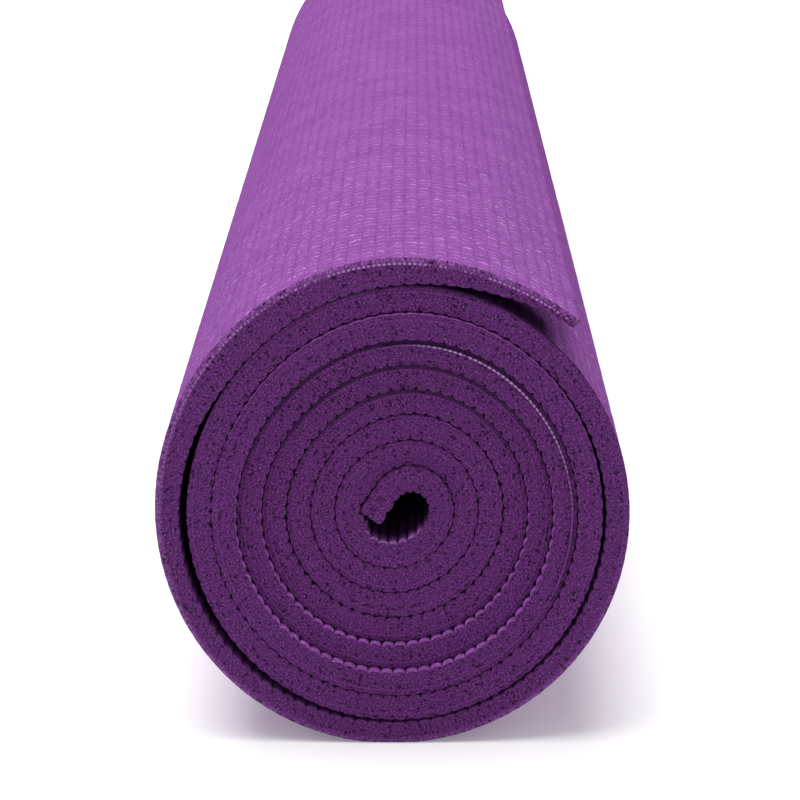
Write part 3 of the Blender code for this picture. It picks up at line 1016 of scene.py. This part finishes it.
def cut_material():
    """Cut foam: a speckled grain, open cells in painted shade, torn strokes where the outer turn's face rounds over,
    and the painted shade of the turn above.
    """
    n = Nodes("foam_cut")
    flat = n.flat(MILLIMETRES)
    grain = n.noise(flat, *CUT_GRAIN)
    pores = pore_share(n, flat, grain)
    distance, chance = n.cells(flat, FINE_PORE_CELLS)
    fine_pores = n.times(n.fade(distance, *FINE_PORE_SPAN), n.span(n.part(chance, 1), *FINE_PORE_CHANCE_SPAN))
    colour = n.mix(n.span(grain, *CUT_GRAIN_SPAN), *CUT_TINTS)
    colour = n.tinted(colour, n.span(n.noise(flat, *CUT_FINE_GRAIN), *CUT_FINE_SPAN), *CUT_FINE_TINT)
    colour = n.tinted(colour, n.span(n.noise(flat, *CUT_COARSE_GRAIN), *CUT_COARSE_SPAN), *CUT_COARSE_TINT)
    strokes = n.mix(n.span(n.noise(n.flat(STROKE_SCALE), *STROKES), *STROKE_SPAN), *FRINGE_TINTS)
    colour = n.tinted(colour, fringe_share(n, flat), strokes, FRINGE_SHARE)
    colour = n.tinted(colour, n.span(grain, *FLECK_SPAN), *FLECK_TINT)
    # Painted shade in the fine pores and the open cells
    colour = n.tinted(colour, fine_pores, *FINE_PORE_SHADE_TINT)
    colour = n.tinted(colour, pores, *PORE_SHADE_TINT)
    colour = n.tinted(colour, n.span(n.attribute("shade"), *SHADE_SPAN), *SHADE_TINT)
    height = n.math("SUBTRACT", grain, n.times(pores, PORE_BUMP))
    return n.finish(colour, *CUT_SURFACE, height, CUT_BUMP)


def thread_material(name, tints, pitch, fades):
    """Polyester thread with beads: bare of foam in places, and dark beyond these lengths."""
    n = Nodes(name)
    dark, light = tints
    fibres = n.noise(n.flat(FIBRE_SCALE), *FIBRES)
    stretches = n.noise(n.flat(STRETCH_SCALE), *STRETCHES)
    ends = n.noise(n.flat(THREAD_END_SCALE), *THREAD_ENDS)
    covered = n.math("MULTIPLY_ADD", ends, THREAD_END_SHARE, stretches)
    colour = n.mix(n.span(fibres, *FIBRE_SPAN), n.mix(0.5, dark, light), light)
    colour = n.mix(n.span(covered, *THREAD_COVER_SPAN), colour, dark)
    seen = n.band(n.part(n.flat(METRES), 0), *fades)
    from_bead = n.math("PINGPONG", n.part(n.flat((1 / pitch, 1)), 0), 0.5)
    colour = n.mix(n.times(seen, n.span(from_bead, *BEAD_GAP_SPAN)), dark, colour)
    return n.finish(colour, *THREAD_SURFACE, fibres, THREAD_BUMP)


SKIN = skin_material()
UNDER = under_material()
CUT = cut_material()
NET = thread_material("net_thread", NET_TINTS, BEAD_PITCH, NET_FADES)
YARN = thread_material("loose_thread", YARN_TINTS, YARN_PITCH, np.interp(YARN_FADES, TURNS, LENGTHS).tolist())


# Pieces


def settle(piece, body, nodes):
    """Puts a piece on its body, in place of CAD nodes."""
    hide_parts(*nodes)
    if body:
        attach(piece, body)


def hinge_rib(number):
    return (FLAP_STRIPS + 1 - number) * STRIP_RIBS


def bend_points(number, first):
    """Where a flap piece starts and stops bending: inside its seams, across its bending line."""
    rib = hinge_rib(number)
    hinge = place(np.array([rib * RIB_STEP]), 0.0, 0.0)[0]
    ahead = place(np.array([(rib - 0.5) * RIB_STEP]), 0.0, 0.0)[0]
    way = (ahead - hinge) / np.linalg.norm(ahead - hinge)
    before = place(np.array([(rib + BEND_BEFORE) * RIB_STEP]), TURN_PITCH, 0.0)[0]
    after = place(np.array([max(first, rib - SEAM_AFTER) * RIB_STEP]), TURN_PITCH, 0.0)[0]
    start = hinge + way * ((before - hinge) @ way)
    end = hinge + way * ((after - hinge) @ way - BEND_MARGIN)
    start[1] = end[1] = 0
    return start, end


def build_flap():
    for number in range(1, FLAP_STRIPS + 1):
        first = hinge_rib(number) - SEAM_AFTER if number < FLAP_STRIPS else 0
        last = hinge_rib(number) + SEAM_BEFORE
        below = f"flap_{number}"
        start, end = bend_points(number, first)
        face = face_ply(f"face_ply_{below}", first, last, fine=True)
        net = net_ply(f"net_{below}", first, last)
        ribbed = ribbed_ply(f"ribbed_ply_{below}", first, last, rows=True)
        settle(face, None, [f"face_foam_{below}"])
        settle(net, None, [f"scrim_{below}"])
        settle(ribbed, None, [f"ribbed_foam_{below}"])
        for piece in (face, net, ribbed):
            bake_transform(piece)


def build_roll():
    first = hinge_rib(1) + SEAM_BEFORE
    bounds = np.linspace(first, OUTER_LAST_RIB, OUTER_STRETCHES + 1).round().astype(int)
    for number, (start, end) in enumerate(zip(bounds, bounds[1:]), 1):
        outer = face_ply(f"face_ply_outer_{number}", start, end, fine=True)
        settle(outer, "roll", ["face_foam_roll"])
    inner = face_ply("face_ply_roll", OUTER_LAST_RIB, RIB_COUNT, fine=False)
    settle(inner, "roll", ["face_foam_roll"])
    net = net_ply("net_roll", first, RIB_COUNT)
    settle(net, "roll", ["scrim_roll"])
    yarn = loose_yarn("edge_yarn")
    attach(yarn, "roll")
    ribbed = ribbed_ply("ribbed_ply_roll", first, RIB_COUNT, rows=False)
    settle(ribbed, "roll", ["ribbed_foam_roll"])


# Stage

CAMERA_PLACE = (0.0048, -0.8515, 0.26045)
CAMERA_PITCH = math.radians(17.494)
CAMERA_YAW = math.radians(-0.310)
CAMERA_LENS = 109.3
SENSOR_WIDTH = 36
CLIP_START = 0.01
FLOOR_SIZE = 12
FLOOR_CLOUDS = (3.0, 2)
FLOOR_TINTS = ((0.90, 0.90, 0.90), (0.93, 0.93, 0.93))
FLOOR_SURFACE = (0.9, 0.1)
FLOOR_GLOW = 0.14
FLOOR_GLOW_TINT = (1.0, 0.97, 1.0, 1)
SKY_LIGHT = 0.53
SKY_TINT = (1, 1, 1, 1)
KEY_PLACE = (-0.45, -0.1, 3.0)
KEY_AIM = (0, 0, 0.06)
KEY_SIZE = 2.4
KEY_POWER = 114


def build_camera():
    data = bpy.data.cameras.new("camera")
    data.lens = CAMERA_LENS
    data.sensor_width = SENSOR_WIDTH
    data.clip_start = CLIP_START
    camera = bpy.data.objects.new("camera", data)
    camera.location = CAMERA_PLACE
    camera.rotation_euler = Euler((math.pi / 2 - CAMERA_PITCH, 0, -CAMERA_YAW))
    bpy.context.scene.collection.objects.link(camera)
    bpy.context.scene.camera = camera


def build_floor():
    mesh = bpy.data.meshes.new("floor")
    half = FLOOR_SIZE / 2
    corners = [(-half, -half, 0), (half, -half, 0), (half, half, 0), (-half, half, 0)]
    mesh.from_pydata(corners, [], [(0, 1, 2, 3)])
    n = Nodes("floor")
    roughness, gloss = FLOOR_SURFACE
    n.put(n.shader, "Base Color", n.mix(n.noise(n.object_places(), *FLOOR_CLOUDS), *FLOOR_TINTS))
    n.put(n.shader, "Roughness", roughness)
    n.put(n.shader, "Specular IOR Level", gloss)
    n.put(n.shader, "Emission Color", FLOOR_GLOW_TINT)
    n.put(n.shader, "Emission Strength", FLOOR_GLOW)
    mesh.materials.append(n.made)
    floor = bpy.data.objects.new("floor", mesh)
    bpy.context.scene.collection.objects.link(floor)


def build_light():
    world = bpy.data.worlds.new("studio")
    bpy.context.scene.world = world
    world.use_nodes = True
    sky = world.node_tree.nodes["Background"]
    sky.inputs["Color"].default_value = SKY_TINT
    sky.inputs["Strength"].default_value = SKY_LIGHT
    data = bpy.data.lights.new("key", "AREA")
    data.shape = "SQUARE"
    data.size = KEY_SIZE
    data.energy = KEY_POWER
    key = bpy.data.objects.new("key", data)
    key.location = KEY_PLACE
    key.rotation_euler = (Vector(KEY_AIM) - Vector(KEY_PLACE)).to_track_quat("-Z", "Y").to_euler()
    bpy.context.scene.collection.objects.link(key)


bpy.context.scene.view_settings.view_transform = "Standard"
build_flap()
build_roll()
build_camera()
build_floor()
build_light()
